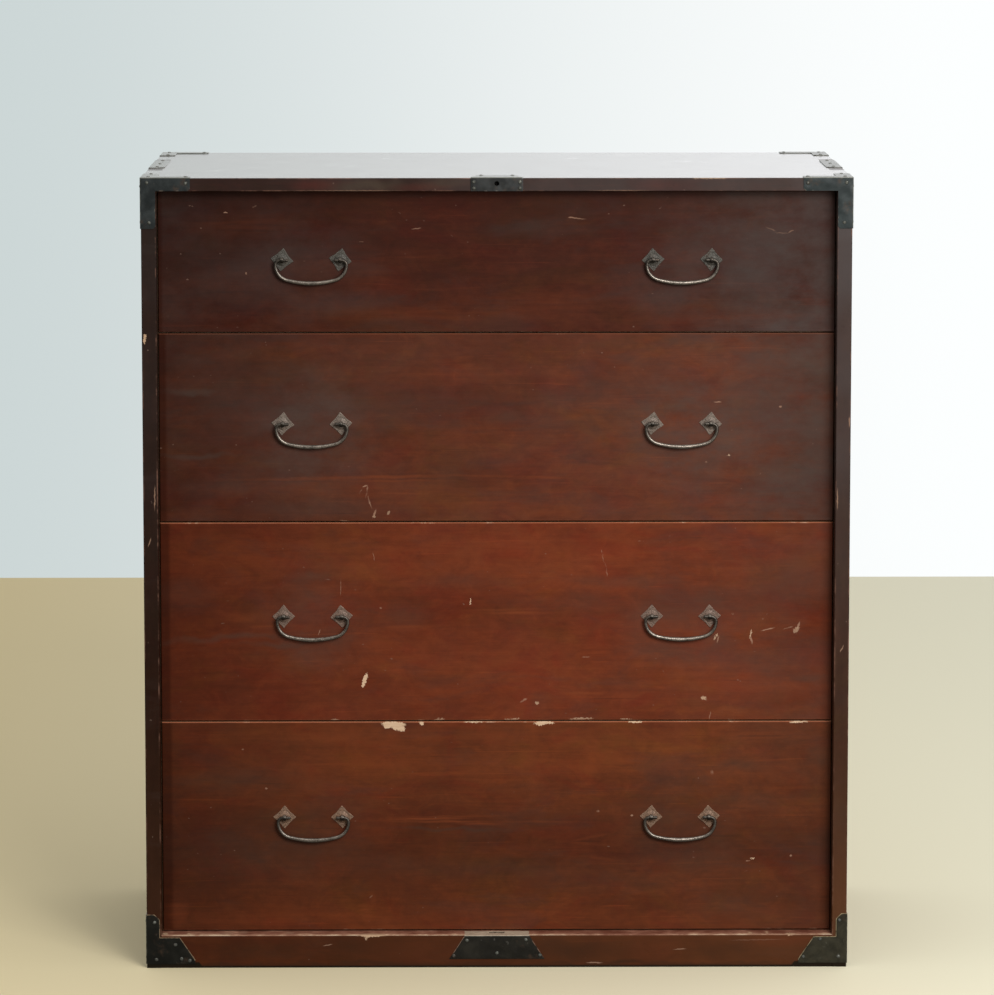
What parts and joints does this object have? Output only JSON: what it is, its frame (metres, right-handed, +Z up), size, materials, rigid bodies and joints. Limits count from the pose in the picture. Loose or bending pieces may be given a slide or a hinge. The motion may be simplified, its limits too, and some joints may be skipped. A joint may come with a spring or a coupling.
{
  "type": "isho clothing chest",
  "caption": "Low, deep Japanese clothing chest: lacquered case with full-width stacked drawers set back in it, drop handles, and sheet-iron corner fittings.",
  "frame": {"origin": "centre of the case's footprint on the floor", "axes": "+X to the right, the drawer fronts face -Y, +Z up"},
  "size_m": [0.9144, 0.4594, 1.0322],
  "materials": {
    "front_lacquer": "aged dark red-brown lacquer with horizontal grain showing through, satin sheen, worn edges",
    "case_lacquer": "aged purplish brown lacquer on the case boards, satin sheen, worn edges",
    "plain_wood": "unfinished straight-grained softwood inside, dry and matt",
    "fitting_iron": "thin black sheet iron with a worn greenish-grey bloom and bright rubbed edges",
    "handle_iron": "forged grey-brown iron, rubbed brighter where it is held",
    "plate_iron": "pitted grey-brown iron with a dusty patina",
    "nail_iron": "domed iron nail heads rubbed pale on the crown"
  },
  "bodies": {
    "case": {"left_side_panel": "case_lacquer", "right_side_panel": "case_lacquer", "top_board": "case_lacquer", "bottom_board": "plain_wood", "base_front_rail": "case_lacquer", "base_rear_rail": "plain_wood", "back_boards": "plain_wood", "divider_1": "plain_wood", "divider_2": "plain_wood", "divider_3": "plain_wood", "top_front_left_corner_iron": "fitting_iron", "top_front_right_corner_iron": "fitting_iron", "top_rear_left_corner_iron": "fitting_iron", "top_rear_right_corner_iron": "fitting_iron", "front_left_foot_iron": "fitting_iron", "front_right_foot_iron": "fitting_iron", "left_edge_iron": "fitting_iron", "right_edge_iron": "fitting_iron", "lock_plate": "fitting_iron", "base_plate": "fitting_iron", "iron_nails": "nail_iron"},
    "drawer_1": {"drawer_1_front": "front_lacquer", "drawer_1_left_side": "plain_wood", "drawer_1_right_side": "plain_wood", "drawer_1_back": "plain_wood", "drawer_1_bottom": "plain_wood", "drawer_1_handle_plates": "plate_iron", "drawer_1_split_pins": "handle_iron"},
    "drawer_1_left_bail": {"drawer_1_left_bail": "handle_iron"},
    "drawer_1_right_bail": {"drawer_1_right_bail": "handle_iron"},
    "drawer_2": {"drawer_2_front": "front_lacquer", "drawer_2_left_side": "plain_wood", "drawer_2_right_side": "plain_wood", "drawer_2_back": "plain_wood", "drawer_2_bottom": "plain_wood", "drawer_2_handle_plates": "plate_iron", "drawer_2_split_pins": "handle_iron"},
    "drawer_2_left_bail": {"drawer_2_left_bail": "handle_iron"},
    "drawer_2_right_bail": {"drawer_2_right_bail": "handle_iron"},
    "drawer_3": {"drawer_3_front": "front_lacquer", "drawer_3_left_side": "plain_wood", "drawer_3_right_side": "plain_wood", "drawer_3_back": "plain_wood", "drawer_3_bottom": "plain_wood", "drawer_3_handle_plates": "plate_iron", "drawer_3_split_pins": "handle_iron"},
    "drawer_3_left_bail": {"drawer_3_left_bail": "handle_iron"},
    "drawer_3_right_bail": {"drawer_3_right_bail": "handle_iron"},
    "drawer_4": {"drawer_4_front": "front_lacquer", "drawer_4_left_side": "plain_wood", "drawer_4_right_side": "plain_wood", "drawer_4_back": "plain_wood", "drawer_4_bottom": "plain_wood", "drawer_4_handle_plates": "plate_iron", "drawer_4_split_pins": "handle_iron"},
    "drawer_4_left_bail": {"drawer_4_left_bail": "handle_iron"},
    "drawer_4_right_bail": {"drawer_4_right_bail": "handle_iron"}
  },
  "joints": [
    {"name": "drawer_1_slide", "type": "slide", "parent": "case", "child": "drawer_1", "axis": [0, -1, 0], "range_m": [0, 0.33]},
    {"name": "drawer_1_left_bail_swing", "type": "hinge", "parent": "drawer_1", "child": "drawer_1_left_bail", "pos_m": [-0.2385, -0.209, 0.92275], "axis": [-1, 0, 0], "range_deg": [-5, 185]},
    {"name": "drawer_1_right_bail_swing", "type": "hinge", "parent": "drawer_1", "child": "drawer_1_right_bail", "pos_m": [0.2385, -0.209, 0.92275], "axis": [-1, 0, 0], "range_deg": [-5, 185]},
    {"name": "drawer_2_slide", "type": "slide", "parent": "case", "child": "drawer_2", "axis": [0, -1, 0], "range_m": [0, 0.33]},
    {"name": "drawer_2_left_bail_swing", "type": "hinge", "parent": "drawer_2", "child": "drawer_2_left_bail", "pos_m": [-0.2385, -0.209, 0.7105], "axis": [-1, 0, 0], "range_deg": [-5, 185]},
    {"name": "drawer_2_right_bail_swing", "type": "hinge", "parent": "drawer_2", "child": "drawer_2_right_bail", "pos_m": [0.2385, -0.209, 0.7105], "axis": [-1, 0, 0], "range_deg": [-5, 185]},
    {"name": "drawer_3_slide", "type": "slide", "parent": "case", "child": "drawer_3", "axis": [0, -1, 0], "range_m": [0, 0.33]},
    {"name": "drawer_3_left_bail_swing", "type": "hinge", "parent": "drawer_3", "child": "drawer_3_left_bail", "pos_m": [-0.2385, -0.209, 0.45875], "axis": [-1, 0, 0], "range_deg": [-5, 185]},
    {"name": "drawer_3_right_bail_swing", "type": "hinge", "parent": "drawer_3", "child": "drawer_3_right_bail", "pos_m": [0.2385, -0.209, 0.45875], "axis": [-1, 0, 0], "range_deg": [-5, 185]},
    {"name": "drawer_4_slide", "type": "slide", "parent": "case", "child": "drawer_4", "axis": [0, -1, 0], "range_m": [0, 0.33]},
    {"name": "drawer_4_left_bail_swing", "type": "hinge", "parent": "drawer_4", "child": "drawer_4_left_bail", "pos_m": [-0.2385, -0.209, 0.19425], "axis": [-1, 0, 0], "range_deg": [-5, 185]},
    {"name": "drawer_4_right_bail_swing", "type": "hinge", "parent": "drawer_4", "child": "drawer_4_right_bail", "pos_m": [0.2385, -0.209, 0.19425], "axis": [-1, 0, 0], "range_deg": [-5, 185]}
  ]
}
